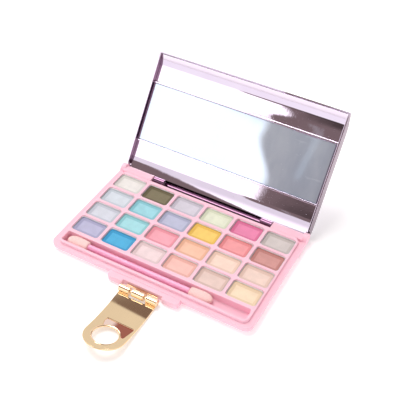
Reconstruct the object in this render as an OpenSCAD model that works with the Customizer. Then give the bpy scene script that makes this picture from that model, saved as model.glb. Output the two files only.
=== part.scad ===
// Hinged 24-shade eyeshadow palette with a mirror lid, a gold flip clasp and a double-ended applicator.
// Origin: centre of the base's underside. +Z up, -Y towards the clasp, the lid stands open behind.

/* [Base] */
// Width of the base across its ledge
base_w = 105; // [104:0.5:110]
// Depth from the front wall to the back of the hinge lugs
base_d = 66; // [65:0.5:70]
// Height of the tray's top face
tray_top = 5.5; // [5.3:0.1:6]
// Height of the ledge that the closed lid's rim meets
ledge_z = 4; // [3.8:0.1:4.2]
// Corner radius of the base seen from above
base_corner = 4; // [3:0.5:6]
// Size of the rolled edge under the base
base_roll = 2.6; // [1.5:0.1:2.8]

/* [Pans] */
// Spacing of the pans from side to side
pitch_x = 16.5; // [16:0.1:16.5]
// Spacing of the pans from front to back
pitch_y = 11.92; // [11.5:0.02:12]
// Width of the bars between the wells
rib = 1.45; // [1.2:0.05:1.8]
// Corner radius of a well
well_corner = 1.6; // [1:0.1:2.4]
// How far the pans' rims lie under the tray's top face
pan_drop = 0.5; // [0.2:0.1:0.8]
// Wall thickness of the sheet metal pans
pan_wall = 0.3; // [0.2:0.05:0.5]
// Width of the sloping border pressed into each powder
powder_border = 1.7; // [1:0.1:2.5]
// Depth of the pressed middle of each powder
powder_dish = 0.45; // [0.2:0.05:0.8]

/* [Lid] */
// Width of the lid
lid_w = 103.2; // [102.6:0.1:104]
// Distance from the hinge line to the lid's front edge
lid_reach = 63; // [62.6:0.1:63.2]
// Overall thickness of the lid
lid_t = 6.9; // [6.6:0.1:7.4]
// Wall thickness of the lid's top
lid_wall = 1.4; // [1.2:0.1:1.5]
// Wall thickness of the lid's left and right sides
lid_side = 1; // [0.9:0.1:1.1]
// How far the lid stands open
lid_open = 125.6; // [90:0.2:126]

/* [Mirror] */
// Width of the mirror glass
mirror_w = 99.4; // [90:0.2:99.8]
// Height of the mirror glass
mirror_h = 30; // [26:0.5:30]
// Thickness of the mirror glass
mirror_t = 1.2; // [1:0.1:1.5]
// Depth of the mirror's face below the lid's rim
mirror_depth = 2.3; // [2.2:0.1:2.6]

/* [Clasp] */
// Width of the clasp plate
clasp_w = 19; // [17:0.5:19]
// Thickness of the clasp plate
clasp_t = 0.9; // [0.8:0.1:1]
// Distance from the clasp's pin to the middle of its hole
clasp_reach = 26.4; // [26:0.1:27]
// Diameter of the clasp's hole
clasp_hole_d = 11.2; // [10.8:0.1:12]
// Diameter of the catch button on the lid
button_d = 9.4; // [8:0.2:9.6]

/* [Applicator] */
// Length of the whole applicator
applicator_l = 77; // [70:0.5:80]
// Diameter of the stick
stick_d = 2.8; // [2:0.1:3]
// Length of a sponge tip
sponge_l = 11.5; // [10:0.5:13]
// Width of a sponge tip
sponge_w = 5.8; // [5:0.1:5.8]
// Thickness of a sponge tip
sponge_t = 4.2; // [3.8:0.1:4.4]

/* [Hidden] */
$fn = 48;
// Smallest gap between pieces that are put together, and between pieces that turn on each other
fit = 0.1;
run = 0.05;
eps = 0.01;

// Shade names, rear row first, and their colours
SHADES = [
    ["cream_white", "olive_green", "lilac_grey", "pale_lime", "magenta", "silver_grey"],
    ["ice_blue", "aqua", "periwinkle", "golden_yellow", "coral_red", "mauve_brown"],
    ["pale_lavender", "mint", "rose_pink", "apricot", "peach_cream", "beige"],
    ["violet", "azure_blue", "blush_white", "salmon", "greige", "vanilla"]
];
SHADE_COLOURS = [
    ["#efebe0", "#6e6a4c", "#cfc8d6", "#e4ecc8", "#e0609c", "#cdc6c0"],
    ["#d3dcec", "#7fd4de", "#b4b6da", "#fbc95c", "#f58a8c", "#b87a78"],
    ["#d8d6e6", "#98dbd6", "#f79cae", "#fbb494", "#fbd0b4", "#ecc8b4"],
    ["#b4acd8", "#3c9cdc", "#f4dcdc", "#f8ac94", "#dcc4bc", "#fbdca8"]
];
rows = len(SHADES);
cols = len(SHADES[0]);

PINK = "#ffc0cc";
METALLISED = "#b9a3bd";
GOLD = "#e8c98c";

// Heights inside the base
base_floor = 1;
tray_under = base_floor + fit;
well_floor = 2.2;
slot_floor = 1.6;
pan_top = tray_top - pan_drop;
powder_sink = 0.4;
powder_top = pan_top - powder_sink;

// The tray's plateau and the body under it
rows_y = 1.8;
plateau_w = 99;
ledge_w = 2.1;
plateau_front = -base_d / 2 + ledge_w;
plateau_rear = 26.9;
plateau_corner = 3;
tray_step = 0.6;
tray_rear_step = 1.1;
tray_body_corner = 2;
tray_body_w = plateau_w - 1;
tray_body_front = plateau_front + tray_step;
tray_body_rear = plateau_rear - tray_rear_step;
well_w = pitch_x - rib;
well_d = pitch_y - rib;
plateau_edge = 0.5;

// The applicator's slot along the front
slot_w = 96.4;
slot_d = 6.2;
slot_bar = 1.9;
slot_corner = 1;
slot_rear = rows_y - rows / 2 * pitch_y + rib / 2 - slot_bar;
slot_front = slot_rear - slot_d;
slot_y = (slot_rear + slot_front) / 2;

// The lid's hinge
hinge_y = 30.2;
hinge_z = 3.6;
barrel_r = 1.9;
knuckle_r = 1.8;
lug_r = base_d / 2 - hinge_y;
pin_d = 1.6;
pin_len = 12;
knuckle_x0 = 27.2;
knuckle_x1 = 33.4;
block_x0 = 33.7;
lug_x0 = 49.8;
lug_gap = 1.1;
lug_clear = lug_r + lug_gap;
rim_lift = ledge_z + fit - hinge_z;
lid_cheek = 3.4;

// The clasp's hinge
clasp_y = -38.6;
clasp_z = 2.3;
clasp_r = 1.8;
clasp_pin_d = 1.2;
clasp_barrel_w = 19.6;
clasp_gap_x = 4.4;
clasp_mid_w = 6;
clasp_flat = 7.4;
clasp_curve_r = 75;
clasp_drop = 1.1;
clasp_end_r = clasp_w / 2;
clasp_closed = 149.3;

// The bracket on the base's front
bracket_w = 36.8;
bracket_front = -36.4;
bracket_z0 = 0.6;
bracket_corner = 1.8;
bracket_top = ledge_z - 0.3;
recess_w = 20.6;
recess_y = -35;
leaf_t = 0.8;
leaf_w = 16;
leaf_z = 1.3;
leaf_lip = 0.6;
leaf_in = 2.8;

applicator_x = -8;
applicator_z = slot_floor + 2 * eps + sponge_t / 2;
neck_d = 1.8;
neck_l = 6;

// ---- shared shapes ----

// Rectangle with round corners, centred
module round_rect(w, d, r) {
    square([w - 2 * r, d], center = true);
    square([w, d - 2 * r], center = true);
    for (x = [-1, 1], y = [-1, 1]) {
        translate([x * (w / 2 - r), y * (d / 2 - r)]) circle(r);
    }
}

// Slab with round corners between two values of Y and two heights
module slab(w, y0, y1, z0, z1, r) {
    translate([0, (y0 + y1) / 2, z0]) linear_extrude(z1 - z0) round_rect(w, y1 - y0, r);
}

// Plain block between two corners
module block(low, high) {
    translate(low) cube(high - low);
}

// Round bar along X between two values of X
module bar(x0, x1, y, z, r) {
    translate([x0, y, z]) rotate([0, 90, 0]) cylinder(h = x1 - x0, r = r);
}

// Outline drawn as [y, z] points, carried along X
module along_x(x0, x1) {
    translate([x0, 0, 0]) rotate([90, 0, 90]) linear_extrude(x1 - x0) children();
}

// The same thing on the left and on the right
module both_sides() {
    children();
    mirror([1, 0, 0]) children();
}

// Centre of the well in a row and a column, both counted from 0
function well_at(row, col) = [
    (col - (cols - 1) / 2) * pitch_x,
    rows_y + ((rows - 1) / 2 - row) * pitch_y
];

// ---- base ----

// Outer body with its rolled lower edge
module base_body() {
    steps = 4;
    hull() {
        for (i = [0 : steps]) {
            a = 90 * i / steps;
            inset = base_roll * (1 - sin(a));
            z = base_roll * (1 - cos(a));
            slab(base_w - 2 * inset, -base_d / 2 + inset, plateau_rear, z, z + eps, base_corner);
        }
        slab(base_w, -base_d / 2, plateau_rear, ledge_z - eps, ledge_z, base_corner);
    }
}

module bracket() {
    slab(bracket_w, bracket_front, -base_d / 2 + 2 * base_roll, bracket_z0, bracket_top, bracket_corner);
}

// Neck and barrel that hold one hinge pin, and the lug outside them
module hinge_block() {
    bar(block_x0, lug_x0 + eps, hinge_y, hinge_z, barrel_r);
    block([block_x0, plateau_rear - eps, hinge_z - barrel_r], [lug_x0 + eps, hinge_y, tray_top]);
    bar(lug_x0, base_w / 2, hinge_y, hinge_z, lug_r);
    block([lug_x0, plateau_rear - 2 * base_corner, hinge_z - lug_r], [base_w / 2, hinge_y, ledge_z]);
}

module base_shell() {
    color(PINK) difference() {
        union() {
            base_body();
            bracket();
            both_sides() hinge_block();
        }
        // pocket for the tray
        slab(tray_body_w + 2 * fit, tray_body_front - fit, tray_body_rear + fit, base_floor, tray_top,
             tray_body_corner);
        // space for the tray's top plate
        slab(plateau_w + 2 * eps, plateau_front - eps, plateau_rear, ledge_z, tray_top + 1, plateau_corner);
        // bores for the hinge pins
        both_sides() bar(knuckle_x0, knuckle_x0 + pin_len + 1, hinge_y, hinge_z, pin_d / 2);
        // recess for the clasp's barrel
        block([-recess_w / 2, bracket_front - 1, 0], [recess_w / 2, recess_y, ledge_z + 1]);
        // pocket for the clasp's fixed leaf
        block([-leaf_w / 2 - fit, recess_y - 1, leaf_z - fit],
              [leaf_w / 2 + fit, recess_y + leaf_in + fit, leaf_z + leaf_t + fit]);
    }
}

module pan_tray() {
    color(PINK) difference() {
        union() {
            slab(tray_body_w, tray_body_front, tray_body_rear, tray_under, ledge_z, tray_body_corner);
            slab(plateau_w, plateau_front, plateau_rear - fit, ledge_z, tray_top - plateau_edge,
                 plateau_corner);
            slab(plateau_w - plateau_edge, plateau_front + plateau_edge, plateau_rear - fit,
                 tray_top - plateau_edge, tray_top, plateau_corner);
        }
        for (row = [0 : rows - 1], col = [0 : cols - 1]) {
            translate(concat(well_at(row, col), well_floor)) linear_extrude(tray_top)
                round_rect(well_w, well_d, well_corner);
        }
        slab(slot_w, slot_front, slot_rear, slot_floor, tray_top + 1, slot_corner);
    }
}

// ---- pans and powders ----

module pan() {
    w = well_w - 2 * fit;
    d = well_d - 2 * fit;
    difference() {
        linear_extrude(pan_top - well_floor) round_rect(w, d, well_corner);
        translate([0, 0, pan_wall]) linear_extrude(pan_top)
            round_rect(w - 2 * pan_wall, d - 2 * pan_wall, well_corner - pan_wall);
    }
}

module pans(row) {
    color("silver") for (col = [0 : cols - 1]) {
        translate(concat(well_at(row, col), well_floor)) pan();
    }
}

module powder(row, col) {
    w = well_w - 2 * (fit + pan_wall + run);
    d = well_d - 2 * (fit + pan_wall + run);
    z0 = well_floor + pan_wall;
    color(SHADE_COLOURS[row][col]) translate(concat(well_at(row, col), z0)) difference() {
        linear_extrude(powder_top - z0) round_rect(w, d, well_corner - pan_wall);
        translate([0, 0, powder_top - z0 - powder_dish]) linear_extrude(1)
            square([w - 2 * powder_border, d - 2 * powder_border], center = true);
    }
}

// ---- lid ----

// The lid is drawn closed, with [y, z] measured from the hinge line, then swung open
module lid_place() {
    translate([0, hinge_y, hinge_z]) rotate([-lid_open, 0, 0]) children();
}

// Point of the lid's outline: distance in front of the hinge line, depth behind the rim
function lid_point(reach, depth) = [-reach, rim_lift + depth];

// Quarter of an ellipse that runs into the lid's flat top
function lid_shoulder(reach, depth, flat_reach, flat_depth, steps = 8) = [
    for (i = [0 : steps]) let (a = 90 * i / steps)
        lid_point(flat_reach + (reach - flat_reach) * cos(a), depth + (flat_depth - depth) * sin(a))
];

function lid_outer() = concat(
    [lid_point(lid_reach, 0), lid_point(lid_reach - 0.1, 1.2), lid_point(lid_reach - 1.4, 2.75)],
    lid_shoulder(lid_reach - 4.6, 4.7, lid_reach - 13, lid_t),
    [lid_point(4.5, lid_t), lid_point(2, 6.3), lid_point(-0.1, 4.7), lid_point(-2.1, 2.4)],
    [lid_point(-2.7, 1.3)],
    [lid_point(lid_cheek, 0)]
);

function lid_inner() = concat(
    [lid_point(lid_reach - 0.6, -1), lid_point(lid_reach - 0.7, 1.1), lid_point(lid_reach - 2.5, 2.6)],
    lid_shoulder(lid_reach - 5.6, 4.3, lid_reach - 13, lid_t - lid_wall),
    [lid_point(7.5, lid_t - lid_wall), lid_point(3.5, 5.1), lid_point(1.1, 3.9), lid_point(-1.2, 2.2)],
    [lid_point(-1.7, 1.3), lid_point(-1.7, -1)]
);

mirror_low = 17;
mirror_high = mirror_low + mirror_h;
rail_w = 0.9;
rail_proud = 0.45;
tape_t = 0.15;
bed_depth = mirror_depth + mirror_t + tape_t;

// The liner's face: depth below the rim, and the curves that lift it at the front and at the back
liner_depth = 2.9;
liner_t = 1.4;
bevel_reach = 56.2;
bevel_r = 20.3;
bevel_a0 = 8;
bevel_a1 = 25.4;
cove_reach = 9;
cove_end = 1.5;
cove_r = 22.3;

function liner_bevel(steps = 8) = [
    for (i = [0 : steps]) let (a = bevel_a1 + (bevel_a0 - bevel_a1) * i / steps)
        lid_point(bevel_reach + bevel_r * (sin(a) - sin(bevel_a0)),
                  liner_depth - bevel_r * (cos(bevel_a0) - cos(a)))
];

function liner_cove(steps = 8) = [
    for (i = [0 : steps]) let (reach = cove_reach + (cove_end - cove_reach) * i / steps)
        lid_point(reach, liner_depth - cove_r + sqrt(cove_r * cove_r - pow(cove_reach - reach, 2)))
];

// Two rails with the mirror's bed between them
function liner_bed() = let (
    high = mirror_high + fit, low = mirror_low - fit, top = mirror_depth - rail_proud
) [
    lid_point(high + rail_w, liner_depth), lid_point(high + rail_w, top), lid_point(high, top),
    lid_point(high, bed_depth), lid_point(low, bed_depth),
    lid_point(low, top), lid_point(low - rail_w, top), lid_point(low - rail_w, liner_depth)
];

function liner_under() = [
    lid_point(cove_end, 2.6), lid_point(3, 3.5), lid_point(cove_reach, liner_depth + liner_t),
    lid_point(57, liner_depth + liner_t), lid_point(60, 2.7), lid_point(61.9, 1.3)
];

// Panel inside the lid that frames the mirror
module lid_liner() {
    x = lid_w / 2 - lid_side - fit;
    color(METALLISED) lid_place() difference() {
        along_x(-x, x) polygon(concat(liner_bevel(), liner_bed(), liner_cove(), liner_under()));
        both_sides() lug_space(x);
    }
}

// Room for the base's lug beside the lid's rear corner
module lug_space(x) {
    bar(lug_x0 - 0.3, x + 1, 0, 0, lug_clear);
}

// Knuckle on the lid and the web that joins it to the lid's rear wall
module lid_knuckle() {
    bar(knuckle_x0, knuckle_x1, 0, 0, knuckle_r);
    along_x(knuckle_x0, knuckle_x1)
        polygon([[-0.4, 0], [-1.2, 3.6], [0.4, 3.6], [2.1, 2.2], [knuckle_r, 0]]);
}

module lid_shell() {
    x = lid_w / 2;
    color(METALLISED) lid_place() difference() {
        union() {
            difference() {
                along_x(-x, x) polygon(lid_outer());
                along_x(-x + lid_side, x - lid_side) polygon(lid_inner());
            }
            both_sides() lid_knuckle();
        }
        both_sides() {
            bar(knuckle_x0 - 1, knuckle_x1 + 1, 0, 0, pin_d / 2 + run);
            lug_space(x);
        }
    }
}

module mirror_glass(low, high, depth, t) {
    lid_place() block([-mirror_w / 2, -high, rim_lift + depth], [mirror_w / 2, -low, rim_lift + depth + t]);
}

module mirror_pane() {
    color("white") mirror_glass(mirror_low, mirror_high, mirror_depth, mirror_t);
}

module mirror_tape() {
    color("gray") mirror_glass(mirror_low + 2, mirror_high - 2, mirror_depth + mirror_t, tape_t);
}

// Domed button on the lid's outside that the closed clasp's hole goes over
button_reach = hinge_y - clasp_y - clasp_reach * cos(180 - clasp_closed) - 0.6;
button_h = 4;
button_dome = 0.8;
button_bevel = 2.4;
module catch_button() {
    color(GOLD) lid_place() translate([0, -button_reach, rim_lift + lid_t]) {
        cylinder(h = button_h, d = button_d);
        translate([0, 0, button_h - eps])
            cylinder(h = button_dome, d1 = button_d, d2 = button_d - button_bevel);
    }
}

module hinge_pin(side) {
    x = side * (knuckle_x0 + pin_len / 2);
    color("lightgray") bar(x - pin_len / 2, x + pin_len / 2, hinge_y, hinge_z, pin_d / 2);
}

// ---- clasp ----

// Height of the plate's inner face at a distance from the pin
function clasp_rise(y) = y < clasp_flat ? 0
    : clasp_curve_r - sqrt(clasp_curve_r * clasp_curve_r - (y - clasp_flat) * (y - clasp_flat));

module clasp_leaf() {
    color(GOLD) difference() {
        union() {
            bar(-clasp_mid_w / 2, clasp_mid_w / 2, clasp_y, clasp_z, clasp_r);
            block([-clasp_mid_w / 2, clasp_y, leaf_z], [clasp_mid_w / 2, recess_y, leaf_z + leaf_t]);
            block([-leaf_w / 2, recess_y - leaf_lip, leaf_z],
                  [leaf_w / 2, recess_y + leaf_in, leaf_z + leaf_t]);
        }
        bar(-clasp_mid_w, clasp_mid_w, clasp_y, clasp_z, clasp_pin_d / 2);
    }
}

module clasp_profile() {
    tip = clasp_reach + clasp_end_r;
    steps = 12;
    top = [for (i = [0 : steps]) let (y = clasp_flat + (tip - clasp_flat) * i / steps)
        [-y, -clasp_drop + clasp_rise(y)]];
    under = [for (i = [steps : -1 : 0]) [top[i][0], top[i][1] - clasp_t]];
    polygon(concat([[0, -clasp_drop]], top, under, [[0, -clasp_drop - clasp_t]]));
}

// Outline of the plate from above: straight sides and a round end about the hole
module clasp_outline() {
    difference() {
        union() {
            translate([-clasp_w / 2, -clasp_reach]) square([clasp_w, clasp_reach]);
            translate([0, -clasp_reach]) circle(clasp_end_r);
        }
        translate([0, -clasp_reach]) circle(d = clasp_hole_d);
    }
}

module clasp_plate() {
    color(GOLD) translate([0, clasp_y, clasp_z]) difference() {
        union() {
            both_sides() bar(clasp_gap_x, clasp_barrel_w / 2, 0, 0, clasp_r);
            intersection() {
                along_x(-clasp_w / 2, clasp_w / 2) clasp_profile();
                translate([0, 0, -5]) linear_extrude(20) clasp_outline();
            }
        }
        bar(-clasp_w, clasp_w, 0, 0, clasp_pin_d / 2 + run);
        // gap around the fixed middle knuckle
        block([-clasp_gap_x, -clasp_r - 0.6, -3], [clasp_gap_x, 3, 3]);
    }
}

module clasp_pin() {
    color(GOLD) bar(-clasp_barrel_w / 2, clasp_barrel_w / 2, clasp_y, clasp_z, clasp_pin_d / 2);
}

// ---- applicator ----

module applicator_stick() {
    half = applicator_l / 2 - sponge_l;
    color(PINK) translate([applicator_x, slot_y, applicator_z]) {
        bar(-half, half, 0, 0, stick_d / 2);
        bar(-half - neck_l, half + neck_l, 0, 0, neck_d / 2);
    }
}

module sponge(side) {
    r = sponge_t / 2;
    spread = (sponge_w - sponge_t) / 2;
    inner = applicator_l / 2 - sponge_l;
    color("#ffd8d4") translate([applicator_x, slot_y, applicator_z]) scale([side, 1, 1]) difference() {
        hull() {
            for (y = [-spread, spread]) {
                translate([inner + r, y, 0]) sphere(r, $fn = 24);
                translate([inner + sponge_l - r - 1, y, 0]) sphere(r, $fn = 24);
            }
            translate([inner + sponge_l - r + 0.4, 0, 0]) sphere(r - 0.4, $fn = 24);
        }
        bar(inner - 1, inner + neck_l + fit, 0, 0, neck_d / 2 + eps);
    }
}

base_shell();
pan_tray();
for (row = [0 : rows - 1]) {
    pans(row);
    for (col = [0 : cols - 1]) {
        powder(row, col);
    }
}
lid_shell();
lid_liner();
mirror_pane();  // mirror
mirror_tape();
catch_button();
hinge_pin(-1);  // hinge_pin_left
hinge_pin(1);  // hinge_pin_right
clasp_leaf();
clasp_plate();
clasp_pin();
applicator_stick();
sponge(-1);  // sponge_left
sponge(1);  // sponge_right
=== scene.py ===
import math

import bpy
import bmesh
import numpy as np
from mathutils import Matrix, Vector, geometry


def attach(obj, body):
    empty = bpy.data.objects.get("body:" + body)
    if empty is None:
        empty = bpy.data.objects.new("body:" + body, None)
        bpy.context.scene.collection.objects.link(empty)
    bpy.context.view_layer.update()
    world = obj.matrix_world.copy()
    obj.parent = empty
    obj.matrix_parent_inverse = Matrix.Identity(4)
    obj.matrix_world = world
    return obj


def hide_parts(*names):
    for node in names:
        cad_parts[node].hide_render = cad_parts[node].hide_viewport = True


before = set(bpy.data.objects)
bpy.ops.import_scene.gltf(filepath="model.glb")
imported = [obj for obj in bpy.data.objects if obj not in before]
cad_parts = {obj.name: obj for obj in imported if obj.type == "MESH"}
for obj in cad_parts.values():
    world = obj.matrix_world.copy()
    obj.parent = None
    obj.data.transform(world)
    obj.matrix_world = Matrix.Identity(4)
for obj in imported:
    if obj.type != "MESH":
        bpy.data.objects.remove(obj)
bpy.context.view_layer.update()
print("frame loaded:", len(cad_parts), "nodes")

mm = 0.001
guardGap = 0.04         # mm between a rounded rim and the row that keeps the flat beside it flat
scene = bpy.context.scene


def gridFaces(rows, columns, closeRows=False):
    # one quad per cell of a stack of closed rings, and from the last ring to the first where asked
    i, j = np.meshgrid(np.arange(rows if closeRows else rows - 1), np.arange(columns), indexing="ij")
    i2, j2 = (i + 1) % rows, (j + 1) % columns
    corners = [i * columns + j, i * columns + j2, i2 * columns + j2, i2 * columns + j]
    return np.stack(corners, -1).reshape(-1, 4)


def facesOf(points, closeRows):
    # a stack of closed rings: quads between rings, and a flat cap on the first and the last one
    rows, columns = points.shape[:2]
    faces = gridFaces(rows, columns, closeRows).tolist()
    if not closeRows:
        faces.append(list(range(columns - 1, -1, -1)))
        faces.append(list(range((rows - 1) * columns, rows * columns)))
    return faces


def turnOutward(points, faces):
    # the signed volume tells which way the faces look: a negative one means inside out
    flat = points.reshape(-1, 3)
    total = 0.0
    quads = np.array([f for f in faces if len(f) == 4])
    if len(quads):
        a, b, c, d = (flat[quads[:, k]] for k in range(4))
        total += (a * (np.cross(b, c) + np.cross(c, d))).sum()
    for face in faces:
        if len(face) != 4:
            f = flat[np.array(face)]
            total += (f[0] * np.cross(f[1:-1], f[2:])).sum()
    return [f[::-1] for f in faces] if total < 0 else faces


def solid(points, closeRows=False):
    return points.reshape(-1, 3), turnOutward(points, facesOf(points, closeRows))


def ease(rows, radii, steps=5, guard=0.05, closed=False):
    # each corner of a line of rows becomes a curve that starts and ends one radius from the corner:
    # (1-s)^2 A + 2s(1-s) P + s^2 B. A guard row just outside each curve keeps the flats flat.
    rows = np.array(rows, float)
    count = len(rows)
    radii = np.broadcast_to(np.array(radii, float), (count,))
    s = np.linspace(0, 1, steps + 1)[:, None]
    out = []
    for k in range(count):
        p = rows[k]
        if radii[k] <= 0 or (not closed and k in (0, count - 1)):
            out.append(p[None])
            continue
        before, after = rows[k - 1], rows[(k + 1) % count]
        lenIn, lenOut = np.abs(p - before).max(), np.abs(after - p).max()
        t = min(radii[k], 0.46 * lenIn, 0.46 * lenOut)
        dirIn, dirOut = (p - before) / lenIn, (after - p) / lenOut
        a, b = p - dirIn * t, p + dirOut * t
        parts = [(1 - s) ** 2 * a + 2 * s * (1 - s) * p + s ** 2 * b]
        if guard and lenIn - t > 3 * guard:
            parts.insert(0, (a - dirIn * guard)[None])
        if guard and lenOut - t > 3 * guard:
            parts.append((b + dirOut * guard)[None])
        out.append(np.concatenate(parts))
    return np.concatenate(out)


def ringStack(rows, corner=8, side=4):
    # rows of [x0, x1, y0, y1, radius, z]: each is a rectangle with round corners, walked anticlockwise
    rows = np.array(rows, float)
    x0, x1, y0, y1, r, z = rows.T
    r = np.minimum(r, 0.499 * np.minimum(x1 - x0, y1 - y0))
    centres = [(x1 - r, y1 - r), (x0 + r, y1 - r), (x0 + r, y0 + r), (x1 - r, y0 + r)]
    arcs = []
    for k, (cx, cy) in enumerate(centres):
        a = np.linspace(k, k + 1, corner + 1) * math.pi / 2
        x, y = cx[:, None] + r[:, None] * np.cos(a), cy[:, None] + r[:, None] * np.sin(a)
        arcs.append(np.stack([x, y], -1))
    loop = []
    t = np.linspace(0, 1, side + 2)[1:-1][None, :, None]
    for k in range(4):
        start, end = arcs[k][:, -1:], arcs[(k + 1) % 4][:, :1]
        loop += [arcs[k], start * (1 - t) + end * t]
    loop = np.concatenate(loop, 1)
    return np.concatenate([loop, np.broadcast_to(z[:, None, None], loop.shape[:2] + (1,))], -1)


def insetRows(x0, x1, y0, y1, r, profile):
    # rows for ringStack from one rectangle and a profile of [inset, z]
    profile = np.array(profile, float)
    i, z = profile.T
    return np.stack([x0 + i, x1 - i, y0 + i, y1 - i, np.maximum(r - i, 0.15), z], -1)


def outlineNormals(outline):
    # outward normal at each point of a closed anticlockwise outline, from the mean of its two edges
    edge = np.roll(outline, -1, 0) - outline
    edge /= np.linalg.norm(edge, axis=1, keepdims=True) + 1e-12
    normal = np.stack([edge[:, 1], -edge[:, 0]], -1)
    both = normal + np.roll(normal, 1, 0)
    scale = 2 / np.maximum((both ** 2).sum(1, keepdims=True), 0.8)
    return both * scale


def plate(outline, profile):
    # a closed outline in the plane, moved inwards along its normals by each profile row's inset,
    # at that row's height
    outline = np.array(outline, float)
    x, y = outline.T
    if np.sum(x * np.roll(y, -1) - np.roll(x, -1) * y) < 0:
        outline = outline[::-1]
    normal = outlineNormals(outline)
    profile = np.array(profile, float)
    xy = outline[None] - profile[:, 0][:, None, None] * normal[None]
    z = np.broadcast_to(profile[:, 1][:, None, None], xy.shape[:2] + (1,))
    return np.concatenate([xy, z], -1)


def alongX(points):
    # a plate drawn as [y, z] with its height along X
    return points[..., [2, 0, 1]]


def softEnds(low, high, radius, steps=4):
    # profile of [inset, height] for a slab whose two rims are rounded
    a = np.linspace(0, math.pi / 2, steps + 1)
    lowEnd = np.stack([radius * (1 - np.sin(a)), low + radius * (1 - np.cos(a))], -1)
    highEnd = lowEnd[::-1] * [1, -1] + [0, low + high]
    g = guardGap
    return np.concatenate([[[radius + g, low]], lowEnd, [[0, low + radius + g], [0, high - radius - g]],
                           highEnd, [[radius + g, high]]])


def turned(profile, around=40, axis="x"):
    # a profile of [along, radius] turned about an axis; both ends close on the axis
    profile = np.array(profile, float)
    a = np.arange(around) * 2 * math.pi / around
    along = np.broadcast_to(profile[:, 0][:, None], (len(profile), around))
    c, s = profile[:, 1][:, None] * np.cos(a), profile[:, 1][:, None] * np.sin(a)
    order = {"x": (along, c, s), "z": (c, s, along)}[axis]
    return np.stack(order, -1)


def rodProfile(low, high, radius, edge, steps=4):
    # profile of [along, radius] for a rod whose two rims are rounded
    a = np.linspace(0, math.pi / 2, steps + 1)
    start = np.stack([low + edge * (1 - np.cos(a)), radius - edge * (1 - np.sin(a))], -1)
    g = guardGap
    return np.concatenate([start, [[low + edge + g, radius], [high - edge - g, radius]],
                           start[::-1] * [-1, 1] + [low + high, 0]])


def arc(cx, cy, radius, fromDeg, toDeg, steps):
    a = np.radians(np.linspace(fromDeg, toDeg, steps + 1))
    return np.stack([cx + radius * np.cos(a), cy + radius * np.sin(a)], -1)


def meshFrom(name, parts):
    points, faces, start = [], [], 0
    for p, f in parts:
        points.append(p)
        faces += [[v + start for v in face] for face in f]
        start += len(p)
    mesh = bpy.data.meshes.new(name)
    mesh.from_pydata((np.concatenate(points) * mm).tolist(), [], faces)
    mesh.validate()
    return mesh


def objectFrom(name, parts):
    obj = bpy.data.objects.new(name, meshFrom(name, parts))
    scene.collection.objects.link(obj)
    return obj


def merge(obj, distance=0.002):
    # points closer than the distance in mm become one
    bm = bmesh.new()
    bm.from_mesh(obj.data)
    bmesh.ops.remove_doubles(bm, verts=bm.verts, dist=distance * mm)
    bm.to_mesh(obj.data)
    bm.free()


def carve(obj, tools, operation):
    # joins closed solids into one, or cuts them away, and applies the result
    for tool in tools:
        cutter = objectFrom("cutter", [tool])
        modifier = obj.modifiers.new("carve", "BOOLEAN")
        modifier.operation, modifier.solver, modifier.object = operation, "EXACT", cutter
        view = bpy.context.evaluated_depsgraph_get()
        result = bpy.data.meshes.new_from_object(obj.evaluated_get(view))
        obj.modifiers.clear()
        old = obj.data
        obj.data = result
        bpy.data.meshes.remove(old)
        bpy.data.objects.remove(cutter)
    return obj


def smooth(obj, angle=32):
    # smooth shading, with edges sharper than the angle kept crisp
    bm = bmesh.new()
    bm.from_mesh(obj.data)
    for face in bm.faces:
        face.smooth = True
    for edge in bm.edges:
        edge.smooth = len(edge.link_faces) == 2 and edge.calc_face_angle(0) < math.radians(angle)
    bm.to_mesh(obj.data)
    bm.free()
    return obj


def faceData(obj):
    # centre in mm and normal of every face, as two arrays of rows
    count = len(obj.data.polygons)
    centres, normals = np.zeros(count * 3, np.float32), np.zeros(count * 3, np.float32)
    obj.data.polygons.foreach_get("center", centres)
    obj.data.polygons.foreach_get("normal", normals)
    return centres.reshape(-1, 3) / mm, normals.reshape(-1, 3)


def mark(obj, name, domain, values):
    # a named number for every point or face, for the materials to read
    layer = obj.data.attributes.new(name, "FLOAT", domain)
    layer.data.foreach_set("value", values.astype(np.float32))


def dress(obj, material, body, replaced):
    # the piece's material, the body it rides on, its material slot and the CAD nodes it stands for
    obj.data.materials.clear()
    obj.data.materials.append(material)
    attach(obj, body)
    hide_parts(*replaced)


class Socket:
    # a node's output that takes part in Python arithmetic
    def __init__(self, paint, socket):
        self.paint, self.socket = paint, socket

    def maths(self, kind, *others):
        return self.paint.node("ShaderNodeMath", {"operation": kind}, dict(enumerate((self,) + others)))

    def __add__(self, other):
        return self.maths("ADD", other)

    def __mul__(self, other):
        return self.maths("MULTIPLY", other)

    def __sub__(self, other):
        return self.maths("SUBTRACT", other)

    def __rsub__(self, other):
        return self.maths("MULTIPLY", -1).maths("ADD", other)

    __radd__ = __add__
    __rmul__ = __mul__

    def above(self, low, high):
        # 0 below low, 1 above high, smooth between
        return self.paint.node("ShaderNodeMapRange", {"interpolation_type": "SMOOTHSTEP"},
                               {"Value": self, "From Min": low, "From Max": high})


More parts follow.
